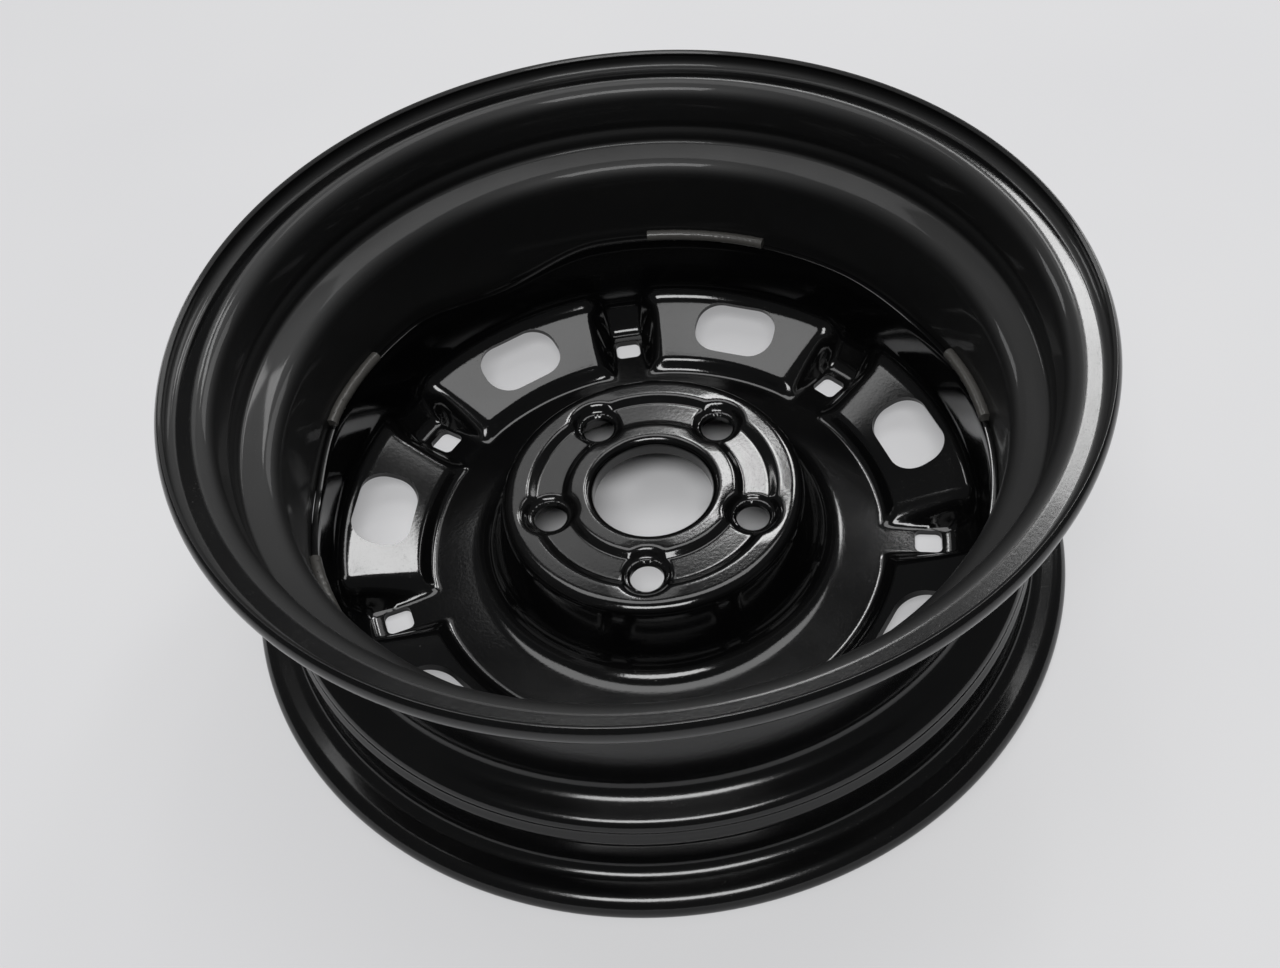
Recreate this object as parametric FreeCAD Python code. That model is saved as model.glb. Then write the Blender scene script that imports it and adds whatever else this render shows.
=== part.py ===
import FreeCAD, Part
import os
from math import asin, atan2, cos, degrees, hypot, pi, radians, sin, tan

# Pressed steel car wheel, lying on its outboard flange with the inboard side up.
# Millimetres. Z is the axle axis, pointing inboard, and the origin is the middle of the rim on that axis.
# One bolt hole and one window lie on +Y, so the pressing is the same on both sides of the YZ plane.

# Rim: one rolled strip of steel
RIM_WIDTH = 127.0            # between the two tyre faces of the flanges
SEAT_DIAMETER = 354.8        # bead seat at the foot of the flange
SEAT_TAPER = 5.0             # degrees
FLANGE_HEIGHT = 17.3         # flange above the bead seat
FLANGE_ROUND = 7.0           # roll of the flange over its top
FLANGE_TOP = 9.5             # from the tyre face to the start of the drooping lip
LIP_DROOP = 45.0             # degrees
LIP_LENGTH = 3.3             # drooping lip, from the corner of its roll
LIP_ROUND = 5.5
FLANGE_FOOT_ROUND = 6.5
RIM_SHEET = 2.3
HUMP_INSET = 21.0            # from the tyre face to the top of the safety hump
HUMP_HEIGHT = 1.5            # above the bead seat line
HUMP_REACH = 4.0             # half the width of the hump
HUMP_ROUND = 5.0
LEDGE_LENGTH = 5.5           # from the hump to the edge of the well
LEDGE_ROUND = 5.0
WELL_DEPTH = 17.4            # tyre side of the well below the bead seat
WELL_OUTBOARD = -28.5        # corner of the well floor and its outboard wall
WELL_INBOARD = 27.0
WELL_ROUND = 8.0
VALVE_HOLE = 11.3
VALVE_BEARING = 90.0         # degrees round the axis, behind the window on +Y

# Wheel centre: one pressing in thicker sheet
DISC_SHEET = 3.2
OFFSET = 35.0                # from the middle of the rim to the hub face, outboard
BORE_DIAMETER = 57.1
COLLAR_DEPTH = 10.0          # length of the bore collar below the hub face
COLLAR_ROUND = 4.2
INNER_LAND_EDGE = 39.5       # the hub face is two flat rings with a shallow groove between them
GROOVE_START = 42.7
GROOVE_END = 55.1
GROOVE_DEPTH = 2.4
OUTER_LAND_START = 59.3
LAND_ROUND = 4.5
GROOVE_ROUND = 2.0
SHOULDER_RADIUS = 71.0       # corner of the hub face and the hub wall
SHOULDER_ROUND = 6.0
WALL_FOOT_RADIUS = 80.0
WALL_FOOT_ROUND = 12.0
BOWL_LEVEL = -72.0           # floor of the deep ring round the hub

# Bolt holes
BOLT_COUNT = 5
BOLT_CIRCLE = 100.0
BOLT_HOLE = 15.5
BOLT_HOLE_CHAMFER = 1.2
DISH_TOP = 27.0              # dished pad round each bolt hole
DISH_FLOOR = 20.0
DISH_DEPTH = 4.2
DISH_FLOOR_ROUND = 2.5
DISH_TOP_ROUND = 4.0
DISH_EDGE_SLOPE = 6.0        # degrees, where the pad runs out into the hub face
SEAT_PAD = 1.6               # extra thickness under the bolt seat
SEAT_BALL_RADIUS = 13.0      # ball seat for the bolt head on the outboard side
SEAT_BALL_DEPTH = 1.6

# Window panels, raised towards the inboard side, with narrow channels between them
# Each inset is measured from the inside of the skirt.
PANEL_COUNT = 7
PANEL_FOOT_INSET = 42.9
PANEL_FOOT_ROUND = 4.0
CREST_RUN = 5.0              # from the foot to the sharp inner ridge of each panel
CREST_RISE = 5.5
CREST_ROUND = 4.6
PANEL_OUTER_INSET = 1.4
PANEL_RISE = 19.5            # from the bowl floor to the outer edge of the panel
PANEL_OUTER_ROUND = 10.0
CHANNEL_FLOOR_HALF = 7.5
CHANNEL_WALL = 12.5          # width of each sloping side of a channel
CHANNEL_WALL_BIAS = 0.22     # where along its width the side is steepest
CHANNEL_END_INSET = 10.4
CHANNEL_END_HEIGHT = 15.0
CHANNEL_END_ROUND = 6.0
WINDOW_LENGTH = 44.0
WINDOW_HEIGHT = 29.0
WINDOW_CORNER = 13.0
WINDOW_INSET = 18.9
SQUARE_SIDE = 13.0
SQUARE_CORNER = 3.0
SQUARE_INSET = 22.9

# Skirt, pressed into the well of the rim
SKIRT_CLEARANCE = 0.1
SKIRT_BASE = -38.0           # plain cylinder from this height up
SKIRT_EDGE = -15.0           # height of the free edge
SKIRT_DIP_WIDTH = 21.0       # degrees each side of a dip in the edge
SKIRT_DIPS = ((88.0, 11.0), (-2.0, 3.0), (151.0, 9.0), (-92.0, 9.0))    # bearing, depth

# Fillet welds between the edge of the skirt and the well
WELD_LEG = 4.2
WELD_CROWN = 0.7
WELD_GAP = 0.1
WELD_ARCS = ((34.5, 57.5), (118.5, 135.5), (166.0, 184.0), (-28.5, -11.5), (-75.0, -55.0), (-125.0, -105.0))

PITCH = 360.0 / PANEL_COUNT
HUB_FACE = -OFFSET
BOLT_RADIUS = BOLT_CIRCLE / 2
SEAT_RADIUS = SEAT_DIAMETER / 2
WELL_RADIUS = SEAT_RADIUS - WELL_DEPTH
SKIRT_OUTSIDE = WELL_RADIUS - RIM_SHEET - SKIRT_CLEARANCE
SKIRT_INSIDE = SKIRT_OUTSIDE - DISC_SHEET
PANEL_FOOT_RADIUS = SKIRT_INSIDE - PANEL_FOOT_INSET
CREST_RADIUS = PANEL_FOOT_RADIUS + CREST_RUN
PANEL_OUTER_RADIUS = SKIRT_INSIDE - PANEL_OUTER_INSET
CHANNEL_END_RADIUS = SKIRT_INSIDE - CHANNEL_END_INSET
WINDOW_RADIUS = SKIRT_INSIDE - WINDOW_INSET
SQUARE_RADIUS = SKIRT_INSIDE - SQUARE_INSET
WALL_LEAN = atan2(HUB_FACE - BOWL_LEVEL, WALL_FOOT_RADIUS - SHOULDER_RADIUS)
CREST_LEAN = atan2(CREST_RISE, CREST_RUN)
BOWL_START = WALL_FOOT_RADIUS + WALL_FOOT_ROUND * tan(WALL_LEAN / 2)
BOWL_END = PANEL_FOOT_RADIUS - PANEL_FOOT_ROUND * tan(CREST_LEAN / 2)
BOWL_EDGE = (BOWL_START + BOWL_END) / 2      # the plain ring round the hub ends here
AXIS = FreeCAD.Vector(0, 0, 1)
ORIGIN = FreeCAD.Vector(0, 0, 0)


def polar(radius, bearing, height):
    return FreeCAD.Vector(radius * cos(radians(bearing)), radius * sin(radians(bearing)), height)


def turn(shape, bearing):
    copy = shape.copy()
    copy.rotate(ORIGIN, AXIS, bearing)
    return copy


def directions(corners):
    """Unit direction of each run of a line through corners (radius, height, rounding)."""
    runs = []
    for a, b in zip(corners, corners[1:]):
        length = hypot(b[0] - a[0], b[1] - a[1])
        runs.append(((b[0] - a[0]) / length, (b[1] - a[1]) / length))
    return runs


def beside(corners, distance):
    """The same line moved sideways to its left, with roundings that keep the sheet one thickness."""
    runs = directions(corners)
    first = (corners[0][0] - distance * runs[0][1], corners[0][1] + distance * runs[0][0], 0)
    last = (corners[-1][0] - distance * runs[-1][1], corners[-1][1] + distance * runs[-1][0], 0)
    moved = [first]
    for corner, a, b in zip(corners[1:-1], runs, runs[1:]):
        bend = atan2(a[0] * b[1] - a[1] * b[0], a[0] * b[0] + a[1] * b[1])
        slide = distance * tan(bend / 2)
        x = corner[0] - distance * a[1] - slide * a[0]
        z = corner[1] + distance * a[0] - slide * a[1]
        rounding = corner[2] - distance if bend > 0 else corner[2] + distance
        moved.append((x, z, rounding))
    return moved + [last]


def edges_of(corners):
    """Straight runs joined by tangent arcs, in the XZ plane."""
    runs = directions(corners)
    edges = []
    start = FreeCAD.Vector(corners[0][0], 0, corners[0][1])
    for corner, a, b in zip(corners[1:-1], runs, runs[1:]):
        bend = atan2(a[0] * b[1] - a[1] * b[0], a[0] * b[0] + a[1] * b[1])
        back = corner[2] * abs(tan(bend / 2))
        point = FreeCAD.Vector(corner[0], 0, corner[1])
        before = point - FreeCAD.Vector(a[0], 0, a[1]) * back
        after = point + FreeCAD.Vector(b[0], 0, b[1]) * back
        inward = (FreeCAD.Vector(b[0] - a[0], 0, b[1] - a[1])).normalize()
        middle = point + inward * (corner[2] / cos(bend / 2) - corner[2])
        edges.append(Part.LineSegment(start, before).toShape())
        edges.append(Part.Arc(before, middle, after).toShape())
        start = after
    edges.append(Part.LineSegment(start, FreeCAD.Vector(corners[-1][0], 0, corners[-1][1])).toShape())
    return edges


def joined(a, b):
    return Part.LineSegment(a, b).toShape()


def corner_point(corner):
    return FreeCAD.Vector(corner[0], 0, corner[1])


def flange(side, well):
    """Corners of one half of the rim's tyre side, from the lip to the well; side is -1 outboard, 1 inboard."""
    face = RIM_WIDTH / 2
    top = SEAT_RADIUS + FLANGE_HEIGHT
    droop = radians(LIP_DROOP)
    lip = face + FLANGE_TOP
    slope = tan(radians(SEAT_TAPER))
    hump = face - HUMP_INSET
    hump_foot = SEAT_RADIUS - slope * (HUMP_INSET - HUMP_REACH)
    far_foot = SEAT_RADIUS - slope * (HUMP_INSET + HUMP_REACH)
    edge = hump - HUMP_REACH - LEDGE_LENGTH
    return [
        (top - LIP_LENGTH * sin(droop), side * (lip + LIP_LENGTH * cos(droop)), 0),
        (top, side * lip, LIP_ROUND),
        (top, side * face, FLANGE_ROUND),
        (SEAT_RADIUS, side * face, FLANGE_FOOT_ROUND),
        (hump_foot, side * (hump + HUMP_REACH), HUMP_ROUND),
        (SEAT_RADIUS - slope * HUMP_INSET + HUMP_HEIGHT, side * hump, HUMP_ROUND),
        (far_foot, side * (hump - HUMP_REACH), HUMP_ROUND),
        (far_foot, side * edge, LEDGE_ROUND),
        (WELL_RADIUS, well, WELL_ROUND),
    ]


def rim():
    outboard = flange(-1, WELL_OUTBOARD)
    inboard = flange(1, WELL_INBOARD)
    tyre_side = outboard + inboard[::-1]
    axle_side = beside(tyre_side, RIM_SHEET)
    outer = edges_of(tyre_side)
    inner = edges_of(axle_side)
    ends = [joined(corner_point(tyre_side[i]), corner_point(axle_side[i])) for i in (0, -1)]
    section = Part.Face(Part.Wire(Part.__sortEdges__(outer + inner + ends)))
    strip = section.revolve(ORIGIN, AXIS, 360)
    edge, foot = outboard[-2], outboard[-1]
    length = hypot(foot[0] - edge[0], foot[1] - edge[1])
    out = FreeCAD.Vector(foot[0] - edge[0], 0, foot[1] - edge[1]) / length
    across = FreeCAD.Vector(-out.z, 0, out.x)
    middle = FreeCAD.Vector((edge[0] + foot[0]) / 2, 0, (edge[1] + foot[1]) / 2)
    reach = 2 * RIM_SHEET
    hole = Part.makeCylinder(VALVE_HOLE / 2, 2 * reach, middle - across * reach, across)
    return strip.cut(turn(hole, VALVE_BEARING))


HUB_LINE = [
    (BORE_DIAMETER / 2, HUB_FACE - COLLAR_DEPTH, 0),
    (BORE_DIAMETER / 2, HUB_FACE, COLLAR_ROUND),
    (INNER_LAND_EDGE, HUB_FACE, LAND_ROUND),
    (GROOVE_START, HUB_FACE - GROOVE_DEPTH, GROOVE_ROUND),
    (GROOVE_END, HUB_FACE - GROOVE_DEPTH, GROOVE_ROUND),
    (OUTER_LAND_START, HUB_FACE, LAND_ROUND),
    (SHOULDER_RADIUS, HUB_FACE, SHOULDER_ROUND),
    (WALL_FOOT_RADIUS, BOWL_LEVEL, WALL_FOOT_ROUND),
    (BOWL_EDGE, BOWL_LEVEL, 0),
]
CHANNEL_FLOOR = [(BOWL_EDGE, BOWL_LEVEL, 0), (CHANNEL_END_RADIUS - CHANNEL_END_ROUND, BOWL_LEVEL, 0)]
CHANNEL_END = [
    CHANNEL_FLOOR[-1],
    (CHANNEL_END_RADIUS, BOWL_LEVEL, CHANNEL_END_ROUND),
    (SKIRT_INSIDE, BOWL_LEVEL + CHANNEL_END_HEIGHT, CHANNEL_END_ROUND),
    (SKIRT_INSIDE, SKIRT_BASE, 0),
]
PANEL_SLOPE = (PANEL_RISE - CREST_RISE) / (PANEL_OUTER_RADIUS - CREST_RADIUS)
PANEL_BREAK = PANEL_OUTER_RADIUS - PANEL_OUTER_ROUND
PANEL_FACE = [
    (BOWL_EDGE, BOWL_LEVEL, 0),
    (PANEL_FOOT_RADIUS, BOWL_LEVEL, PANEL_FOOT_ROUND),
    (CREST_RADIUS, BOWL_LEVEL + CREST_RISE, CREST_ROUND),
    (PANEL_BREAK, BOWL_LEVEL + CREST_RISE + PANEL_SLOPE * (PANEL_BREAK - CREST_RADIUS), 0),
]
PANEL_END = [
    PANEL_FACE[-1],
    (SKIRT_INSIDE, BOWL_LEVEL + CREST_RISE + PANEL_SLOPE * (SKIRT_INSIDE - CREST_RADIUS), PANEL_OUTER_ROUND),
    (SKIRT_INSIDE, SKIRT_BASE, 0),
]


def walker(corners):
    """A function that gives (radius, height) at a share of the way along a rounded line."""
    edges = [edge for edge in edges_of(corners) if edge.Length > 1e-6]
    total = sum(edge.Length for edge in edges)

    def at(share):
        left = min(max(share, 0.0), 1.0) * total
        for edge in edges[:-1]:
            if left <= edge.Length:
                break
            left -= edge.Length
        else:
            edge = edges[-1]
        point = edge.valueAt(edge.getParameterByLength(min(left, edge.Length)))
        return point.x, point.z

    return at


CHANNEL_WALKS = (walker(CHANNEL_FLOOR), walker(CHANNEL_END))
PANEL_WALKS = (walker(PANEL_FACE), walker(PANEL_END))


def edge_height(bearing):
    """Height of the skirt's wavy free edge."""
    height = SKIRT_EDGE
    for centre, depth in SKIRT_DIPS:
        away = abs((bearing - centre + 180) % 360 - 180)
        if away < SKIRT_DIP_WIDTH:
            height -= depth * (0.5 + 0.5 * cos(pi * away / SKIRT_DIP_WIDTH))
    return height


def rise(across):
    """0 on the floor of a channel and 1 on a panel, at a distance from the channel's middle."""
    x = (abs(across) - CHANNEL_FLOOR_HALF) / CHANNEL_WALL
    if x <= 0:
        return 0.0
    if x >= 1:
        return 1.0
    if x < CHANNEL_WALL_BIAS:
        return x * x / CHANNEL_WALL_BIAS
    return 1 - (1 - x) ** 2 / (1 - CHANNEL_WALL_BIAS)


def inboard_side(along, from_channel):
    """Point of the pressing's inboard side, for a channel on +X; along is 0 at the bowl and 2 at the skirt."""
    part = 0 if along < 1 else 1
    low = CHANNEL_WALKS[part](along - part)
    high = PANEL_WALKS[part](along - part)
    share = rise(low[0] * sin(radians(from_channel)))
    radius = low[0] + share * (high[0] - low[0])
    return polar(radius, from_channel, low[1] + share * (high[1] - low[1]))


def outboard_side(along, from_channel):
    """Point one sheet thickness behind the inboard side."""
    step = 1e-3
    before, after = max(along - step, 0), min(along + step, 2)
    length = inboard_side(after, from_channel) - inboard_side(before, from_channel)
    width = inboard_side(along, from_channel + step) - inboard_side(along, from_channel - step)
    return inboard_side(along, from_channel) - length.cross(width).normalize() * DISC_SHEET


FLOOR_ROWS = 24
END_ROWS = 18
ROWS = [i / FLOOR_ROWS for i in range(FLOOR_ROWS)] + [1 + i / END_ROWS for i in range(END_ROWS + 1)]
STEP = 0.5                    # degrees between columns on the sides of a channel
NARROW = 0.7 * degrees(asin(CHANNEL_FLOOR_HALF / SKIRT_INSIDE))      # its sides lie from this bearing
WIDE = degrees(asin((CHANNEL_FLOOR_HALF + CHANNEL_WALL) / BOWL_EDGE)) + STEP / 2    # to this one
SEAM = WIDE + 5 * STEP        # the pressing's surface is made in one patch for each panel and channel
SIDE_COLUMNS = int(round((WIDE - NARROW) / STEP))
SIDE = [NARROW + i * (WIDE - NARROW) / SIDE_COLUMNS for i in range(SIDE_COLUMNS + 1)]
PANEL_COLUMNS = 16
PLAIN = [SEAM - PITCH + i * (PITCH - SEAM - WIDE) / PANEL_COLUMNS for i in range(PANEL_COLUMNS)]
COLUMNS = PLAIN + [-s for s in SIDE[::-1]] + [-NARROW / 2, 0, NARROW / 2] + SIDE + [(WIDE + SEAM) / 2, SEAM]
COLUMN_SPLITS = [0, len(PLAIN), COLUMNS.index(0), len(COLUMNS) - 1]     # edges of the faces it is made in
ROW_SPLITS = [0, FLOOR_ROWS // 2, FLOOR_ROWS, len(ROWS) - 1]


def pressed(side):
    """Surface of one side of the pressing for a channel on +X, from one seam to the next."""
    surface = Part.BSplineSurface()
    surface.interpolate([[side(along, column) for along in ROWS] for column in COLUMNS])
    return surface


def patches(surface, first, last):
    """Faces of that surface between two columns, with its edges at the bowl and at the skirt."""
    across, along = surface.getUKnots(), surface.getVKnots()
    faces = []
    for low, high in zip(ROW_SPLITS, ROW_SPLITS[1:]):
        piece = surface.copy()
        piece.segment(across[first], across[last], along[low], along[high])
        if not faces:
            bowl_edge = piece.vIso(along[low]).toShape()
        faces.append(piece.toShape())
    return faces, bowl_edge, piece.vIso(along[high]).toShape()


def wavy_edge(radius, bearings):
    curve = Part.BSplineCurve()
    curve.interpolate([polar(radius, bearing, edge_height(bearing)) for bearing in bearings])
    return curve.toShape()


def sector(sides, channel_bearing, first, last):
    """Faces of the whole pressing between two columns of one panel and channel."""
    upper = edges_of(HUB_LINE)[:-1]
    lower_line = beside(HUB_LINE, -DISC_SHEET)
    lower = edges_of(lower_line)[:-1]
    collar_end = joined(corner_point(HUB_LINE[0]), corner_point(lower_line[0]))
    bearings = [channel_bearing + column for column in COLUMNS[first:last + 1]]
    start, end = bearings[0], bearings[-1]
    faces = [turn(edge.revolve(ORIGIN, AXIS, end - start), start) for edge in upper + lower + [collar_end]]
    rims = []
    for surface, profile, radius in zip(sides, (upper, lower), (SKIRT_INSIDE, SKIRT_OUTSIDE)):
        made, bowl_edge, skirt_base = patches(surface, first, last)
        foot = profile[-1].valueAt(profile[-1].LastParameter)
        circle = Part.Circle(FreeCAD.Vector(0, 0, foot.z), AXIS, foot.x)
        arc = Part.ArcOfCircle(circle, radians(start), radians(end)).toShape()
        rims.append(wavy_edge(radius, bearings))
        faces += [turn(face, channel_bearing) for face in made]
        faces.append(Part.makeRuledSurface(arc, turn(bowl_edge, channel_bearing)))
        faces.append(Part.makeRuledSurface(turn(skirt_base, channel_bearing), rims[-1]))
    faces.append(Part.makeRuledSurface(rims[0], rims[1]))
    return faces


def window(bearing):
    """Cutter for one window: a rounded oblong square to the sloping panel."""
    height = BOWL_LEVEL + CREST_RISE + PANEL_SLOPE * (WINDOW_RADIUS - CREST_RADIUS)
    slope = degrees(atan2(PANEL_SLOPE, 1))
    depth = 4 * DISC_SHEET
    cutter = rounded_box(WINDOW_HEIGHT, WINDOW_LENGTH, WINDOW_CORNER, depth)
    cutter.rotate(ORIGIN, FreeCAD.Vector(0, 1, 0), -slope)
    cutter.translate(FreeCAD.Vector(WINDOW_RADIUS, 0, height))
    return turn(cutter, bearing)


def rounded_box(x, y, corner, depth):
    """Upright prism with rounded corners, centred on the origin."""
    box = Part.makeBox(x, y, 2 * depth, FreeCAD.Vector(-x / 2, -y / 2, -depth))
    upright = [edge for edge in box.Edges if abs(edge.tangentAt(edge.FirstParameter).z) > 0.9]
    return box.makeFillet(corner, upright)


def square(bearing):
    cutter = rounded_box(SQUARE_SIDE, SQUARE_SIDE, SQUARE_CORNER, 3 * DISC_SHEET)
    cutter.translate(FreeCAD.Vector(SQUARE_RADIUS, 0, BOWL_LEVEL))
    return turn(cutter, bearing)


def cone_between(low_radius, high_radius, low, high):
    return Part.makeCone(low_radius, high_radius, high - low, FreeCAD.Vector(BOLT_RADIUS, 0, low))


def bolt_boss(bearing):
    """Outboard side of the dished pad."""
    low = HUB_FACE - DISH_DEPTH - DISC_SHEET - SEAT_PAD
    growth = DISC_SHEET / 2
    return turn(cone_between(DISH_FLOOR / 2 + growth, DISH_TOP / 2 + growth, low, HUB_FACE - DISC_SHEET), bearing)


def bolt_cut(bearing):
    """Dish, hole, chamfer and ball seat of one bolt hole."""
    floor = HUB_FACE - DISH_DEPTH
    below = floor - DISC_SHEET - SEAT_PAD
    over = DISC_SHEET + SEAT_PAD
    run_out = 2 * DISH_TOP_ROUND
    edge = DISH_TOP / 2 + run_out
    line = [
        (0, floor, 0),
        (DISH_FLOOR / 2, floor, DISH_FLOOR_ROUND),
        (DISH_TOP / 2, HUB_FACE, DISH_TOP_ROUND),
        (edge, HUB_FACE + run_out * tan(radians(DISH_EDGE_SLOPE)), 0),
    ]
    side = edges_of(line)
    top = [FreeCAD.Vector(r, 0, HUB_FACE + over) for r in (edge, 0)]
    cap = Part.makePolygon([corner_point(line[-1])] + top + [corner_point(line[0])]).Edges
    dish = Part.Face(Part.Wire(Part.__sortEdges__(side + cap))).revolve(ORIGIN, AXIS, 360)
    dish.translate(FreeCAD.Vector(BOLT_RADIUS, 0, 0))
    hole = Part.makeCylinder(BOLT_HOLE / 2, 3 * over, FreeCAD.Vector(BOLT_RADIUS, 0, below - over))
    chamfer = cone_between(BOLT_HOLE / 2, BOLT_HOLE / 2 + BOLT_HOLE_CHAMFER, floor - BOLT_HOLE_CHAMFER, floor)
    ball_rise = (SEAT_BALL_RADIUS ** 2 - (BOLT_HOLE / 2) ** 2) ** 0.5
    ball = Part.makeSphere(SEAT_BALL_RADIUS, FreeCAD.Vector(BOLT_RADIUS, 0, below + SEAT_BALL_DEPTH - ball_rise))
    return turn(dish.fuse([hole, chamfer, ball]), bearing)


def disc():
    sides = pressed(inboard_side), pressed(outboard_side)
    faces = []
    for k in range(PANEL_COUNT):
        for first, last in zip(COLUMN_SPLITS, COLUMN_SPLITS[1:]):
            faces += sector(sides, 90 + (k + 0.5) * PITCH, first, last)
    shell = Part.makeShell(faces)
    shell.sewShape(1e-3)
    pressing = Part.Solid(shell)
    if pressing.Volume < 0:
        pressing.reverse()
    pressing = pressing.removeSplitter()
    bolts = [90 + k * 360 / BOLT_COUNT for k in range(BOLT_COUNT)]
    pressing = pressing.fuse([bolt_boss(bearing) for bearing in bolts])
    cutters = [bolt_cut(bearing) for bearing in bolts]
    for k in range(PANEL_COUNT):
        cutters.append(window(90 + k * PITCH))
        cutters.append(square(90 + (k + 0.5) * PITCH))
    return pressing.cut(cutters)


def weld(start, end):
    """One bead: a convex fillet that lies on the skirt's edge and against the well, between two bearings."""
    wall = SKIRT_OUTSIDE + SKIRT_CLEARANCE - WELD_GAP
    count = max(6, int(abs(end - start)))
    bearings = [start + (end - start) * i / count for i in range(count + 1)]

    def rail(out, up):
        points = [polar(wall - out, b, edge_height(b) + WELD_GAP + up) for b in bearings]
        curve = Part.BSplineCurve()
        curve.interpolate(points)
        return curve.toShape()

    corner, toe, top = rail(0, 0), rail(WELD_LEG, 0), rail(0, WELD_LEG)
    bulge = WELD_LEG / 2 + WELD_CROWN
    crown = [rail(WELD_LEG, 0), rail(bulge, bulge), rail(0, WELD_LEG)]
    faces = [Part.makeRuledSurface(corner, toe), Part.makeRuledSurface(corner, top)]
    faces += [Part.makeRuledSurface(crown[0], crown[1]), Part.makeRuledSurface(crown[1], crown[2])]
    for bearing in (start, end):
        height = edge_height(bearing) + WELD_GAP
        loop = [polar(wall - out, bearing, height + up)
                for out, up in ((0, 0), (WELD_LEG, 0), (bulge, bulge), (0, WELD_LEG), (0, 0))]
        faces.append(Part.Face(Part.makePolygon(loop)))
    shell = Part.makeShell(faces)
    shell.sewShape(1e-4)
    bead = Part.Solid(shell)
    if bead.Volume < 0:
        bead.reverse()
    return bead


def write(name, shape):
    shape.exportStep(os.path.join("parts", name + ".step"))
    solids = shape.Solids
    print(name, len(solids), "solids", round(shape.Volume), "mm3, valid", shape.isValid())


os.makedirs("parts", exist_ok=True)
write("rim", rim())
write("disc", disc())
write("weld_beads", Part.Compound([weld(a, b) for a, b in WELD_ARCS]))
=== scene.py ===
import math

import bmesh
import bpy
import numpy as np
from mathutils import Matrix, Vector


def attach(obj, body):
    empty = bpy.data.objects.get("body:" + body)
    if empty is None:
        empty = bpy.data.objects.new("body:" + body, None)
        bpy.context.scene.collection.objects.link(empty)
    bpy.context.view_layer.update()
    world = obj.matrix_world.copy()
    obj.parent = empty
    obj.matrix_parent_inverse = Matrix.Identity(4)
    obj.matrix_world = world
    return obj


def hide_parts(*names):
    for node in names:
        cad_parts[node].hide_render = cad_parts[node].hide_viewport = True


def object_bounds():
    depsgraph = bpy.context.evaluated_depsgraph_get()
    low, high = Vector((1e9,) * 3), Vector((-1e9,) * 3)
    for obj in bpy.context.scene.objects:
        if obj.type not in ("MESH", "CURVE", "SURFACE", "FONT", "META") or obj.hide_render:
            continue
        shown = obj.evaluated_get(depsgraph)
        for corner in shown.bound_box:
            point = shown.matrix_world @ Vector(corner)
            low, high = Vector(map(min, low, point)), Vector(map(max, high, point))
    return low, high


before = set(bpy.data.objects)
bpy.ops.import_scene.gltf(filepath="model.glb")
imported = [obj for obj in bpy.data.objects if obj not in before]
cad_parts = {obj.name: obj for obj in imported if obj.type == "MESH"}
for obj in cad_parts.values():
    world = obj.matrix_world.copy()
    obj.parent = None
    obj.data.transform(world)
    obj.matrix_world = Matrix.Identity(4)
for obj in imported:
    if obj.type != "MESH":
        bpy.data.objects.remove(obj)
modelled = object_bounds()


# Paint
# The wheel is dipped and stoved after welding, so one coat of gloss black covers every piece.
# It has a fine orange peel, dust nibs, and a thin film of dust where it faces up.


class Wire:
    """A shader socket that takes plain maths; node adds any other kind of node."""

    def __init__(self, tree, socket=None):
        self.tree = tree
        self.socket = socket

    def node(self, kind, out=0, settings=None, **inputs):
        made = self.tree.nodes.new(kind)
        for name, value in (settings or {}).items():
            setattr(made, name, value)
        for name, value in inputs.items():
            self.feed(made.inputs[name.replace("_", " ")], value)
        return Wire(self.tree, made.outputs[out])

    def feed(self, socket, value):
        if isinstance(value, Wire):
            self.tree.links.new(value.socket, socket)
        else:
            socket.default_value = value

    def maths(self, operation, *values):
        made = self.tree.nodes.new("ShaderNodeMath")
        made.operation = operation
        for socket, value in zip(made.inputs, values):
            self.feed(socket, value)
        return Wire(self.tree, made.outputs[0])

    def between(self, low, high):
        """0 at low and 1 at high, held at both ends; low may be the larger."""
        scaled = (self - low) / (high - low)
        return self.maths("MINIMUM", self.maths("MAXIMUM", scaled, 0.0), 1.0)

    def __add__(self, other):
        return self.maths("ADD", self, other)

    def __radd__(self, other):
        return self.maths("ADD", other, self)

    def __sub__(self, other):
        return self.maths("SUBTRACT", self, other)

    def __rsub__(self, other):
        return self.maths("SUBTRACT", other, self)

    def __mul__(self, other):
        return self.maths("MULTIPLY", self, other)

    def __rmul__(self, other):
        return self.maths("MULTIPLY", other, self)

    def __truediv__(self, other):
        return self.maths("DIVIDE", self, other)

    def __rtruediv__(self, other):
        return self.maths("DIVIDE", other, self)

    def __pow__(self, other):
        return self.maths("POWER", self, other)


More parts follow.
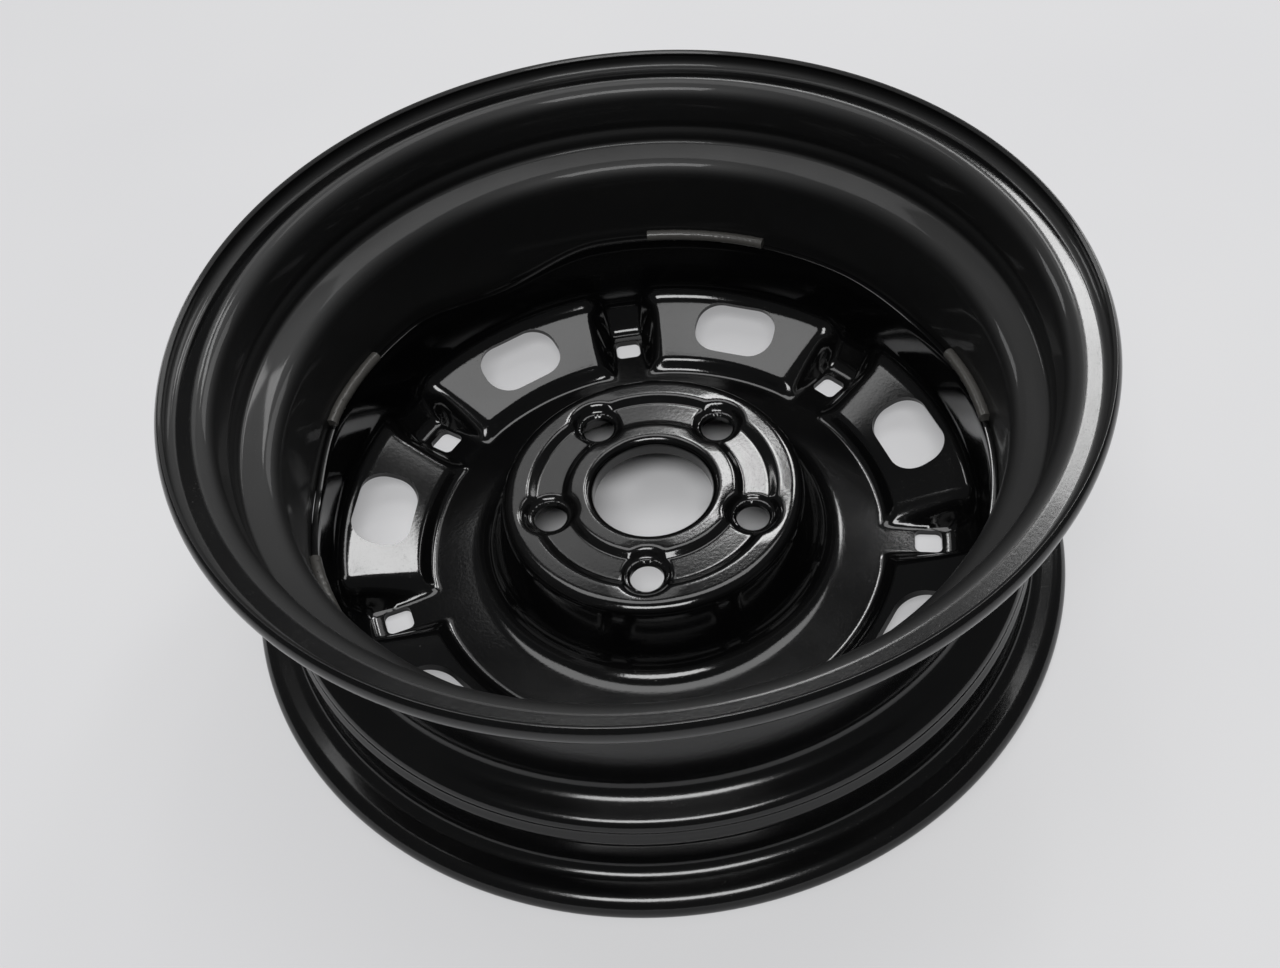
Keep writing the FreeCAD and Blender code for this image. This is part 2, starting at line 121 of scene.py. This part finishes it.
def black_paint(name, marks, dull, coat, inside=0.0, thin=0.0):
    """Gloss black over steel; marks is how scuffed and dusty the piece is, from 0 to 1.

    dull is the roughness of the paint, inside is added to it where the sheet faces the axle, and thin is how
    much paler the paint is over rough metal."""
    material = bpy.data.materials.new(name)
    material.use_nodes = True
    tree = material.node_tree
    shader = tree.nodes["Principled BSDF"]
    shader.inputs["IOR"].default_value = 1.5
    shader.inputs["Coat Roughness"].default_value = 0.06
    w = Wire(tree)
    place = w.node("ShaderNodeTexCoord", out="Object")
    facing = w.node("ShaderNodeNewGeometry", out="Normal")
    x, y = [w.node("ShaderNodeSeparateXYZ", out=axis, Vector=place) for axis in "XY"]
    east, north, up = [w.node("ShaderNodeSeparateXYZ", out=axis, Vector=facing) for axis in "XYZ"]
    outward = (x * east + y * north) / (x * x + y * y) ** 0.5
    shade = outward.between(-0.08, -0.30) * inside

    def noise(scale, detail=2.0, roughness=0.5):
        return w.node("ShaderNodeTexNoise", Vector=place, Scale=scale, Detail=detail, Roughness=roughness)

    patches = noise(14.0, 4.0)
    film = up.between(0.35, 1.0) * patches.between(0.42, 0.66) * marks
    nibs = noise(1500.0, 1.0).between(0.70, 0.76) * patches.between(0.3, 0.6)
    scuffs = noise(230.0, 6.0, 0.75).between(0.60, 0.70) * noise(9.0).between(0.50, 0.62) * marks
    black = (0.0025, 0.0025, 0.0027, 1.0)
    dust = (0.075, 0.072, 0.067, 1.0)
    pale = thin + film * 0.05 + nibs * 0.25 + scuffs * 0.06
    colour = w.node("ShaderNodeMixRGB", Fac=pale, Color1=black, Color2=dust)
    w.feed(shader.inputs["Base Color"], colour)
    w.feed(shader.inputs["Roughness"], dull + shade + film * 0.04 + scuffs * 0.08 + noise(60.0, 3.0) * 0.03)
    w.feed(shader.inputs["Coat Weight"], coat - (film + scuffs) * coat * 0.6)
    peel = noise(650.0, 2.0) * 0.8 + noise(2200.0, 1.0) * 0.3 + nibs * 0.5
    bump = w.node("ShaderNodeBump", Height=peel, Strength=1.0, Distance=0.000025)
    w.feed(shader.inputs["Normal"], bump)
    return material


# Rim
# One rolled strip of steel, 14 inches across the bead seats and 5 inches between the flanges. From each
# flange it runs down over the bead seat, a safety hump and a ledge into the well. The valve hole is in the
# outboard wall of the well.
rim_sheet = 2.3
rim_edge = 0.5
rim_face = 63.5
seat_radius = 177.4
seat_slope = math.tan(math.radians(5.0))
flange_radius = seat_radius + 17.3
flange_top = 9.5
lip_droop = 3.3 * math.sin(math.radians(45.0))
hump_inset = 21.0
hump_height = 1.5
hump_reach = 4.0
ledge_length = 5.5
well_radius = seat_radius - 17.4
well_outboard = -28.5
well_inboard = 27.0
valve_radius = 5.65
valve_reach = 8.0
axis_gap = 0.001


def rounded(corners, flat, arc, closed=False):
    """Points along straight runs joined by tangent arcs; corners are (across, up, rounding), in mm.

    flat is the longest step on a straight run, in mm, and arc the largest turn in one step, in degrees."""
    bends = []
    for i, (x, y, r) in enumerate(corners):
        if r == 0:
            bends.append([(x, y)])
            continue
        before, after = corners[i - 1], corners[(i + 1) % len(corners)]
        a = math.atan2(y - before[1], x - before[0])
        bend = (math.atan2(after[1] - y, after[0] - x) - a + math.pi) % (2 * math.pi) - math.pi
        side = math.copysign(r, bend)
        back = side * math.tan(bend / 2)
        middle = (x - back * math.cos(a) - side * math.sin(a), y - back * math.sin(a) + side * math.cos(a))
        steps = max(2, math.ceil(abs(math.degrees(bend)) / arc))
        turns = [a - math.pi / 2 + bend * k / steps for k in range(steps + 1)]
        bends.append([(middle[0] + side * math.cos(t), middle[1] + side * math.sin(t)) for t in turns])
    if closed:
        bends.append(bends[0][:1])
    line = list(bends[0])
    for bend in bends[1:]:
        (x0, y0), (x1, y1) = line[-1], bend[0]
        steps = max(1, math.ceil(math.hypot(x1 - x0, y1 - y0) / flat))
        line += [(x0 + (x1 - x0) * k / steps, y0 + (y1 - y0) * k / steps) for k in range(1, steps)]
        line += bend
    return line[:-1] if closed else line


def beside(corners, distance):
    """The other side of a sheet: the same line moved to its left, with roundings one thickness apart."""
    moved = []
    for i, (x, y, r) in enumerate(corners):
        before, after = corners[max(i - 1, 0)], corners[min(i + 1, len(corners) - 1)]
        a = math.atan2(y - before[1], x - before[0]) if i else math.atan2(after[1] - y, after[0] - x)
        b = math.atan2(after[1] - y, after[0] - x) if i < len(corners) - 1 else a
        bend = (b - a + math.pi) % (2 * math.pi) - math.pi
        slide = distance * math.tan(bend / 2)
        out, up = x - distance * math.sin(a), y + distance * math.cos(a)
        rounding = r and r - math.copysign(distance, bend)
        moved.append((out - slide * math.cos(a), up - slide * math.sin(a), rounding))
    return moved


def half_rim(side, well):
    """Tyre side of one half, from the lip to the well; side is -1 outboard and 1 inboard."""
    lip_corner = rim_face + flange_top
    hump = rim_face - hump_inset
    hump_foot = seat_radius - seat_slope * (hump_inset - hump_reach)
    hump_crest = seat_radius - seat_slope * hump_inset + hump_height
    ledge_radius = seat_radius - seat_slope * (hump_inset + hump_reach)
    return [
        (flange_radius - lip_droop, side * (lip_corner + lip_droop), 0),
        (flange_radius, side * lip_corner, 5.5),
        (flange_radius, side * rim_face, 7.0),
        (seat_radius, side * rim_face, 6.5),
        (hump_foot, side * (hump + hump_reach), 5.0),
        (hump_crest, side * hump, 5.0),
        (ledge_radius, side * (hump - hump_reach), 5.0),
        (ledge_radius, side * (hump - hump_reach - ledge_length), 5.0),
        (well_radius, well, 8.0),
    ]


def new_piece(name, points, faces):
    """An object at the origin from points in mm."""
    mesh = bpy.data.meshes.new(name)
    mesh.from_pydata([[c / 1000.0 for c in point] for point in points], [], faces)
    piece = bpy.data.objects.new(name, mesh)
    bpy.context.scene.collection.objects.link(piece)
    return piece


def turned(name, loop, count):
    """A closed loop of (radius, height) turned once round the axis."""
    points = []
    for k in range(count):
        turn = 2 * math.pi * k / count
        points += [(r * math.cos(turn), r * math.sin(turn), z) for r, z in loop]
    n = len(loop)
    faces = []
    for k in range(count):
        a, b = k * n, (k + 1) % count * n
        faces += [(a + i, a + (i + 1) % n, b + (i + 1) % n, b + i) for i in range(n)]
    return new_piece(name, points, faces)


def plain_mesh(thing):
    """The mesh that an object's modifiers make, on its own."""
    return bpy.data.meshes.new_from_object(thing.evaluated_get(bpy.context.evaluated_depsgraph_get()))


def cut(piece, cutters, crease):
    """Takes the cutters out of a piece, and shades it smooth except along edges over crease degrees."""
    for cutter in cutters:
        tool = piece.modifiers.new("cut", "BOOLEAN")
        tool.operation = "DIFFERENCE"
        tool.solver = "MANIFOLD"
        tool.object = cutter
    piece.data = plain_mesh(piece)
    piece.modifiers.clear()
    for cutter in cutters:
        bpy.data.objects.remove(cutter)
    shape = bmesh.new()
    shape.from_mesh(piece.data)
    bmesh.ops.recalc_face_normals(shape, faces=shape.faces)
    for face in shape.faces:
        face.smooth = True
    for edge in shape.edges:
        edge.smooth = edge.calc_face_angle(0.0) < math.radians(crease)
    shape.to_mesh(piece.data)
    shape.free()
    piece.data.materials.clear()


tyre_side = half_rim(-1, well_outboard) + half_rim(1, well_inboard)[::-1]
strip = tyre_side + beside(tyre_side, rim_sheet)[::-1]
for i in (0, len(tyre_side) - 1, len(tyre_side), len(strip) - 1):
    strip[i] = strip[i][:2] + (rim_edge,)
rim = turned("rim_strip", rounded(strip, flat=6.0, arc=9.0, closed=True), count=300)
valve_line = [(axis_gap, -valve_reach), (valve_radius, -valve_reach)]
valve_line += [(valve_radius, valve_reach), (axis_gap, valve_reach)]
valve_hole = turned("valve_hole", valve_line, count=48)
wall_edge, wall_foot = half_rim(-1, well_outboard)[-2:]
wall_lean = math.atan2(wall_foot[1] - wall_edge[1], wall_edge[0] - wall_foot[0])
valve_hole.location = (0.0, (wall_edge[0] + wall_foot[0]) / 2000.0, (wall_edge[1] + wall_foot[1]) / 2000.0)
valve_hole.rotation_euler = (-wall_lean, 0.0, 0.0)
cut(rim, [valve_hole], crease=40.0)
rim.data.materials.append(black_paint("rim paint", marks=0.7, dull=0.14, coat=0.25, inside=0.38))
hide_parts("rim")
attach(rim, "root")

# Disc
# One pressing in thicker sheet. Its hub face is two flat rings with a groove between them and five dished
# pads, round it is a deep bowl, then seven raised window panels with a channel and a square hole between
# each two, and a skirt with a wavy edge that fits into the well of the rim.
disc_sheet = 3.2
first_bearing = 90.0
hub_face = -35.0
bore_radius = 28.55
collar_depth = 10.0
groove_level = hub_face - 2.4
bowl_level = -72.0
bowl_edge = 99.6
skirt_clearance = 0.1
skirt_inside = well_radius - rim_sheet - skirt_clearance - disc_sheet
skirt_base = -38.0
skirt_edge = -15.0
skirt_dips = ((88.0, 11.0), (-2.0, 3.0), (151.0, 9.0), (-92.0, 9.0))
dip_width = 21.0
edge_round = 0.7
edge_corner = 0.2
hub_line = [
    (bore_radius, hub_face - collar_depth, 0),
    (bore_radius, hub_face, 4.2),
    (39.5, hub_face, 4.5),
    (42.7, groove_level, 2.0),
    (55.1, groove_level, 2.0),
    (59.3, hub_face, 4.5),
    (71.0, hub_face, 6.0),
    (80.0, bowl_level, 12.0),
    (bowl_edge, bowl_level, 0),
]
panel_count = 7
pitch = 360.0 / panel_count
channel_floor_half = 7.5
channel_wall = 12.5
channel_bias = 0.22
channel_end_radius = 144.0
channel_end_height = 15.0
channel_end_round = 6.0
channel_stop = (channel_end_radius - channel_end_round, bowl_level, 0)
channel_floor = [(bowl_edge, bowl_level, 0), channel_stop]
channel_end = [
    channel_stop,
    (channel_end_radius, bowl_level, channel_end_round),
    (skirt_inside, bowl_level + channel_end_height, channel_end_round),
    (skirt_inside, skirt_base, 0),
]
panel_foot = 111.5
crest_radius = 116.5
crest_level = bowl_level + 5.5
panel_slope = 14.0 / 36.5
panel_break = 143.0


def panel_level(radius):
    """Height of the sloping face of a panel."""
    return crest_level + panel_slope * (radius - crest_radius)


panel_face = [
    (bowl_edge, bowl_level, 0),
    (panel_foot, bowl_level, 4.0),
    (crest_radius, crest_level, 4.6),
    (panel_break, panel_level(panel_break), 0),
]
panel_end = [panel_face[-1], (skirt_inside, panel_level(skirt_inside), 10.0), (skirt_inside, skirt_base, 0)]
bolt_count = 5
bolt_radius = 50.0
bolt_bearings = [first_bearing + 360.0 / bolt_count * k for k in range(bolt_count)]
bolt_hole = 7.75
bolt_chamfer = 1.25
dish_floor = hub_face - 4.2
dish_top = 13.5
dish_line = [(0.0, dish_floor, 0), (10.0, dish_floor, 2.5), (dish_top, hub_face, 4.0), (21.5, hub_face + 0.84, 0)]
dish_reach = 19.0
dish_blend = 1.6
seat_pad = 1.6


def walked(corners, shares):
    """Radius and height at shares of the way along a rounded line."""
    line = np.array(rounded(corners, flat=0.5, arc=3.0))
    length = np.concatenate([[0.0], np.cumsum(np.hypot(*np.diff(line, axis=0).T))])
    at = np.asarray(shares) * length[-1]
    return np.interp(at, length, line[:, 0]), np.interp(at, length, line[:, 1])


def edge_height(bearing):
    """Height of the skirt's wavy free edge."""
    height = np.full_like(bearing, skirt_edge)
    for centre, depth in skirt_dips:
        away = np.abs((bearing - centre + 180.0) % 360.0 - 180.0)
        height -= depth * (0.5 + 0.5 * np.cos(np.pi * np.minimum(away / dip_width, 1.0)))
    return height


def around(radius, bearing, height):
    turn = np.radians(bearing)
    return np.stack(np.broadcast_arrays(radius * np.cos(turn), radius * np.sin(turn), height), axis=-1)


side_reach = 11.8
columns = np.concatenate([
    np.linspace(-side_reach, side_reach, 34, endpoint=False),
    np.linspace(side_reach, pitch - side_reach, 21, endpoint=False),
])
from_channel = np.tile(columns, panel_count)
bearings = from_channel + np.repeat(first_bearing + (np.arange(panel_count) + 0.5) * pitch, len(columns))

wall_start = 72.0
hub_rows = np.array(rounded(hub_line, flat=1.05, arc=11.0))
hub_rows = hub_rows[(hub_rows[:, 0] < wall_start) | (np.arange(len(hub_rows)) % 2 == 0)][:-1]
hub = around(hub_rows[:, :1], bearings, hub_rows[:, 1:])
flat = (hub_rows[:, 0] > 31.0) & (hub_rows[:, 0] < 70.0) & (hub_rows[:, 1] > hub_face - 3.0)
to_bolt = np.full(hub.shape[:2], 1000.0)
for bearing in bolt_bearings:
    away = hub[..., :2] - around(bolt_radius, bearing, 0.0)[:2]
    to_bolt = np.minimum(to_bolt, np.linalg.norm(away, axis=-1))
dish = np.interp(to_bolt, *np.array(rounded(dish_line, flat=0.5, arc=4.0)).T)
blend = np.clip(0.5 + (dish - hub[..., 2]) / dish_blend, 0.0, 1.0)
soft = dish + (hub[..., 2] - dish) * blend - dish_blend / 2 * blend * (1.0 - blend)
hub[flat, :, 2] = np.where(to_bolt < dish_reach, soft, hub[..., 2])[flat]

rows = [hub]
face_shares = np.concatenate([[0.0, 0.08, 0.15], np.linspace(0.2, 0.44, 11), np.linspace(0.5, 0.95, 7)])
for low_line, high_line, shares in (
    (channel_floor, panel_face, face_shares), (channel_end, panel_end, np.linspace(0.0, 1.0, 16)),
):
    low_radius, low_height = walked(low_line, shares)
    high_radius, high_height = walked(high_line, shares)
    middle = (from_channel + pitch / 2) % pitch - pitch / 2
    across = (np.abs(low_radius[:, None] * np.sin(np.radians(middle))) - channel_floor_half) / channel_wall
    x = np.clip(across, 0.0, 1.0)
    share = np.where(x < channel_bias, x * x / channel_bias, 1.0 - (1.0 - x) ** 2 / (1.0 - channel_bias))
    radius = low_radius[:, None] + share * (high_radius - low_radius)[:, None]
    height = low_height[:, None] + share * (high_height - low_height)[:, None]
    rows.append(around(radius, bearings, height))
edge = edge_height(bearings)
climb = np.array([0.35, 0.7, 1.0])[:, None]
rows.append(around(skirt_inside, bearings, skirt_base + climb * (edge - edge_round - skirt_base)))
inboard = np.concatenate(rows)

along_sheet = np.gradient(inboard, axis=0)
across_sheet = np.roll(inboard, -1, axis=1) - np.roll(inboard, 1, axis=1)
out_of_sheet = np.cross(along_sheet, across_sheet)
out_of_sheet /= np.linalg.norm(out_of_sheet, axis=-1, keepdims=True)
thickness = np.full(inboard.shape[:2], disc_sheet)
thickness[:len(hub)] += seat_pad * np.clip((dish_top - to_bolt) / 2.0, 0.0, 1.0)
outboard = inboard - out_of_sheet * thickness[..., None]
rounding = [(edge_corner, -edge_corner), (edge_round, 0.0)]
rounding += [(disc_sheet - edge_round, 0.0), (disc_sheet - edge_corner, -edge_corner)]
cap = np.stack([around(skirt_inside + out, bearings, edge + up) for out, up in rounding])
loops = np.concatenate([inboard, cap, outboard[::-1]])
count = len(bearings)
faces = []
for i in range(len(loops)):
    a, b = i * count, (i + 1) % len(loops) * count
    faces += [(a + j, b + j, b + (j + 1) % count, a + (j + 1) % count) for j in range(count)]
disc = new_piece("wheel_disc", loops.reshape(-1, 3), faces)


def slab(name, length, width, corner, depth):
    """Upright prism with rounded corners, centred on the origin."""
    x, y = length / 2, width / 2
    corners = [(-x, -y, corner), (x, -y, corner), (x, y, corner), (-x, y, corner)]
    outline = rounded(corners, flat=4.0, arc=7.5, closed=True)
    n = len(outline)
    points = [(px, py, pz) for pz in (-depth, depth) for px, py in outline]
    sides = [(i, (i + 1) % n, n + (i + 1) % n, n + i) for i in range(n)]
    return new_piece(name, points, sides + [tuple(range(n))[::-1], tuple(range(n, 2 * n))])


ball_radius = 13.0
ball_middle = hub_face - 17.84
chamfer_top = dish_floor + 0.05
cut_top, cut_foot = -30.0, -46.0
bolt_line = [(axis_gap, cut_top), (bolt_hole + bolt_chamfer, cut_top)]
bolt_line += [(bolt_hole + bolt_chamfer, chamfer_top), (bolt_hole, chamfer_top - bolt_chamfer)]
for z in (-42.4, -42.9, -43.4, -44.0, -45.0, cut_foot):
    bolt_line.append(((ball_radius ** 2 - (z - ball_middle) ** 2) ** 0.5, z))
bolt_line.append((axis_gap, cut_foot))
openings = []
for bearing in bolt_bearings:
    hole = turned("bolt_hole", bolt_line, count=56)
    hole.location = around(bolt_radius, bearing, 0.0) / 1000.0
    openings.append(hole)
window_radius = 135.5
square_radius = 131.5
square_side = 13.0
for k in range(panel_count):
    bearing = first_bearing + k * pitch
    window = slab("window", length=29.0, width=44.0, corner=13.0, depth=12.0)
    window.location = around(window_radius, bearing, panel_level(window_radius)) / 1000.0
    window.rotation_euler = (0.0, -math.atan(panel_slope), math.radians(bearing))
    square = slab("square_hole", length=square_side, width=square_side, corner=3.0, depth=9.0)
    square.location = around(square_radius, bearing + pitch / 2, bowl_level) / 1000.0
    square.rotation_euler = (0.0, 0.0, math.radians(bearing + pitch / 2))
    openings += [window, square]
cut(disc, openings, crease=38.0)
disc.data.materials.append(black_paint("disc paint", marks=0.8, dull=0.08, coat=0.2))
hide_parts("disc")
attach(disc, "root")

# Weld beads
# Six fillet welds hold the wavy edge of the skirt to the well of the rim. Each is a run of overlapping
# ripples that ends in a small crater, with drops of spatter on it, all under the paint.
weld_runs = ((34.5, 57.5), (118.5, 135.5), (166.0, 184.0), (-28.5, -11.5), (-75.0, -55.0), (-125.0, -105.0))
bead_inset = 1.9
well_inside = well_radius - rim_sheet
points, lines = [], []
for first, last in weld_runs:
    run = np.linspace(first, last, round((last - first) * 4))
    start = len(points)
    points += (around(well_inside - bead_inset, run, edge_height(run) + bead_inset) / 1000.0).tolist()
    lines += [(k, k + 1) for k in range(start, len(points) - 1)]
path = bpy.data.meshes.new("weld_paths")
path.from_pydata(points, lines, [])
welds = bpy.data.objects.new("weld_runs", path)
bpy.context.scene.collection.objects.link(welds)

bead = bpy.data.node_groups.new("weld bead", "GeometryNodeTree")
bead.interface.new_socket("Geometry", in_out="INPUT", socket_type="NodeSocketGeometry")
for name in ("Bead Radius", "Ripple Pitch", "Ripple Height", "Crater Length", "Lump Height", "Drop Radius"):
    bead.interface.new_socket(name, in_out="INPUT", socket_type="NodeSocketFloat")
bead.interface.new_socket("Drop Seed", in_out="INPUT", socket_type="NodeSocketInt")
bead.interface.new_socket("Paint", in_out="INPUT", socket_type="NodeSocketMaterial")
bead.interface.new_socket("Geometry", in_out="OUTPUT", socket_type="NodeSocketGeometry")
g = Wire(bead)
given = {socket.name: Wire(bead, socket) for socket in bead.nodes.new("NodeGroupInput").outputs}
run = g.node("GeometryNodeMeshToCurve", Mesh=given["Geometry"])
run = g.node("GeometryNodeResampleCurve", settings={"mode": "LENGTH"}, Curve=run, Length=0.0003)
along = g.node("GeometryNodeSplineParameter", out="Length")
from_end = g.maths("MINIMUM", along, g.node("GeometryNodeSplineLength", out="Length") - along)
taper = (from_end / given["Crater Length"]).between(0.03, 1.0) ** 0.5
ripple = g.maths("ABSOLUTE", g.maths("SINE", along * math.pi / given["Ripple Pitch"]))
swell = 1.0 + given["Ripple Height"] * (ripple - 0.6)
run = g.node("GeometryNodeSetCurveRadius", Curve=run, Radius=taper * swell)
ring = g.node("GeometryNodeCurvePrimitiveCircle", Resolution=16, Radius=given["Bead Radius"])
tube = g.node("GeometryNodeCurveToMesh", Curve=run, Profile_Curve=ring, Fill_Caps=True)
spot = g.node("GeometryNodeInputPosition")
lumps = g.node("ShaderNodeTexNoise", Vector=spot, Scale=420.0, Detail=2.0) - 0.5
outward = g.node("GeometryNodeInputNormal")
lift = lumps * given["Lump Height"]
push = g.node("ShaderNodeVectorMath", settings={"operation": "SCALE"}, Vector=outward, Scale=lift)
tube = g.node("GeometryNodeSetPosition", Geometry=tube, Offset=push)
drops = g.node("GeometryNodeDistributePointsOnFaces", Mesh=tube, Density=18000.0, Seed=given["Drop Seed"])
ball = g.node("GeometryNodeMeshIcoSphere", Radius=given["Drop Radius"], Subdivisions=2)
sizes = g.node("ShaderNodeTexWhiteNoise", Vector=spot) * 0.9 + 0.3
drops = g.node("GeometryNodeInstanceOnPoints", Points=drops, Instance=ball, Scale=sizes)
both = bead.nodes.new("GeometryNodeJoinGeometry")
bead.links.new(tube.socket, both.inputs[0])
bead.links.new(drops.socket, both.inputs[0])
whole = g.node("GeometryNodeRealizeInstances", Geometry=Wire(bead, both.outputs[0]))
whole = g.node("GeometryNodeSetShadeSmooth", Geometry=whole)
whole = g.node("GeometryNodeSetMaterial", Geometry=whole, Material=given["Paint"])
g.feed(bead.nodes.new("NodeGroupOutput").inputs["Geometry"], whole)

lay = welds.modifiers.new("lay beads", "NODES")
lay.node_group = bead
settings = {
    "Bead Radius": 0.0028, "Ripple Pitch": 0.0016, "Ripple Height": 0.14, "Crater Length": 0.003,
    "Lump Height": 0.0005, "Drop Radius": 0.00035, "Drop Seed": 7,
    "Paint": black_paint("weld paint", marks=0.5, dull=0.30, coat=0.1, thin=1.0),
}
for item in bead.interface.items_tree:
    if item.in_out == "INPUT" and item.name in settings:
        lay[item.identifier] = settings[item.name]
welds.data = plain_mesh(welds)
welds.modifiers.clear()
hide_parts("weld_beads")
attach(welds, "root")

# Floor
# Plain pale paper that the outboard flange stands on. In the open it is evenly lit. Under the wheel it has the
# light that comes through the bore and the windows, plus painted light that only the camera sees: a painted pool
# of light under the bore and a painted glow under the windows.
floor_level = modelled[0][2]
bpy.ops.mesh.primitive_plane_add(size=12.0, location=(0.0, 0.0, floor_level))
floor = bpy.context.object
floor.name = "floor"
floor_paper = bpy.data.materials.new("pale paper")
floor_paper.use_nodes = True
tree = floor_paper.node_tree
w = Wire(tree)
place = w.node("ShaderNodeTexCoord", out="Object")
cloud = w.node("ShaderNodeTexNoise", Vector=place, Scale=2.2, Detail=3.0)
paper = tree.nodes["Principled BSDF"]
paper.inputs["Roughness"].default_value = 0.7
white = w.node("ShaderNodeMixRGB", Fac=cloud, Color1=(0.72, 0.72, 0.73, 1.0), Color2=(0.78, 0.78, 0.79, 1.0))
w.feed(paper.inputs["Base Color"], white)
seen = tree.nodes.new("ShaderNodeBsdfPrincipled")
seen.inputs["Roughness"].default_value = 0.8
seen.inputs["Emission Strength"].default_value = 0.5
x, y = [w.node("ShaderNodeSeparateXYZ", out=axis, Vector=place) for axis in "XY"]
from_axle = (x * x + y * y) ** 0.5
# Painted light on the floor for the camera: full glow in the open, a painted pool of light under the bore,
# painted light under the windows, and none under the bowl.
painted_bore_light = from_axle.between(0.055, 0.025) * 0.35
backdrop_and_painted_light = painted_bore_light + from_axle.between(0.095, 0.110) * 0.65 + from_axle.between(0.180, 0.198) * 0.35
grey, pale_grey = (0.23, 0.23, 0.235, 1.0), (0.27, 0.27, 0.275, 1.0)
half = w.node("ShaderNodeMixRGB", Fac=cloud, Color1=grey, Color2=pale_grey)
half = w.node("ShaderNodeMixRGB", Fac=backdrop_and_painted_light, Color1=white, Color2=half)
# The glow painted on the floor, masked by the painted light above.
glow = w.node("ShaderNodeMixRGB", Fac=cloud, Color1=(0.90, 0.90, 0.93, 1.0), Color2=(1.0, 1.0, 1.0, 1.0))
glow = w.node("ShaderNodeMixRGB", Fac=backdrop_and_painted_light, Color1=(0.0, 0.0, 0.0, 1.0), Color2=glow)
w.feed(seen.inputs["Base Color"], half)
w.feed(seen.inputs["Emission Color"], glow)
mixed = tree.nodes.new("ShaderNodeMixShader")
w.feed(mixed.inputs["Fac"], w.node("ShaderNodeLightPath", out="Is Camera Ray"))
tree.links.new(paper.outputs[0], mixed.inputs[1])
tree.links.new(seen.outputs[0], mixed.inputs[2])
tree.links.new(mixed.outputs[0], tree.nodes["Material Output"].inputs["Surface"])
floor.data.materials.append(floor_paper)

# Light
# Windows on the right and the left, a pale wall and a ceiling light beyond the wheel, and a lamp behind the
# camera, in a dim room.


def soft_light(name, bearing, height, distance, width, tall, power):
    """A soft rectangle that faces the wheel; bearing is round the axle axis and height above it, in degrees."""
    lamp = bpy.data.lights.new(name, "AREA")
    lamp.shape = "RECTANGLE"
    lamp.size = width
    lamp.size_y = tall
    lamp.energy = power
    holder = bpy.data.objects.new(name, lamp)
    bpy.context.scene.collection.objects.link(holder)
    a, e = math.radians(bearing), math.radians(height)
    toward = (math.cos(e) * math.cos(a), math.cos(e) * math.sin(a), math.sin(e))
    holder.location = [distance * c for c in toward]
    holder.rotation_euler = (math.pi / 2 - e, 0.0, a + math.pi / 2)


soft_light("window far right", 56.0, 48.8, 2.2, 0.23, 0.19, 1.8)
soft_light("pale wall", 66.0, 49.0, 2.2, 0.60, 0.38, 1.0)
soft_light("window right", 36.0, 43.5, 2.4, 0.32, 0.56, 6.6)
soft_light("window low right", 20.0, 24.0, 2.4, 1.1, 0.7, 9.0)
soft_light("window left", 102.0, 22.0, 2.4, 0.5, 0.5, 5.0)
soft_light("ceiling", 62.5, 73.0, 2.0, 1.7, 0.75, 12.0)
soft_light("lamp behind", -125.0, 58.0, 2.0, 1.1, 0.55, 20.0)
world = bpy.data.worlds.new("room")
bpy.context.scene.world = world
world.use_nodes = True
world.node_tree.nodes["Background"].inputs["Color"].default_value = (0.96, 0.98, 1.0, 1.0)
world.node_tree.nodes["Background"].inputs["Strength"].default_value = 0.08

# Camera
# Hand-held close to the wheel, above its near side, tipped a little to one side.
lens = bpy.data.cameras.new("camera")
lens.sensor_fit = "HORIZONTAL"
lens.sensor_width = 36.0
lens.lens = 37.696
lens.shift_x = -0.0267
lens.shift_y = -0.0051
camera = bpy.data.objects.new("camera", lens)
bpy.context.scene.collection.objects.link(camera)
camera.location = (-0.18876, -0.3626, 0.44792)
camera.rotation_euler = [math.radians(angle) for angle in (40.313, 3.7764, -33.4375)]
bpy.context.scene.camera = camera
bpy.context.scene.view_settings.view_transform = "Standard"
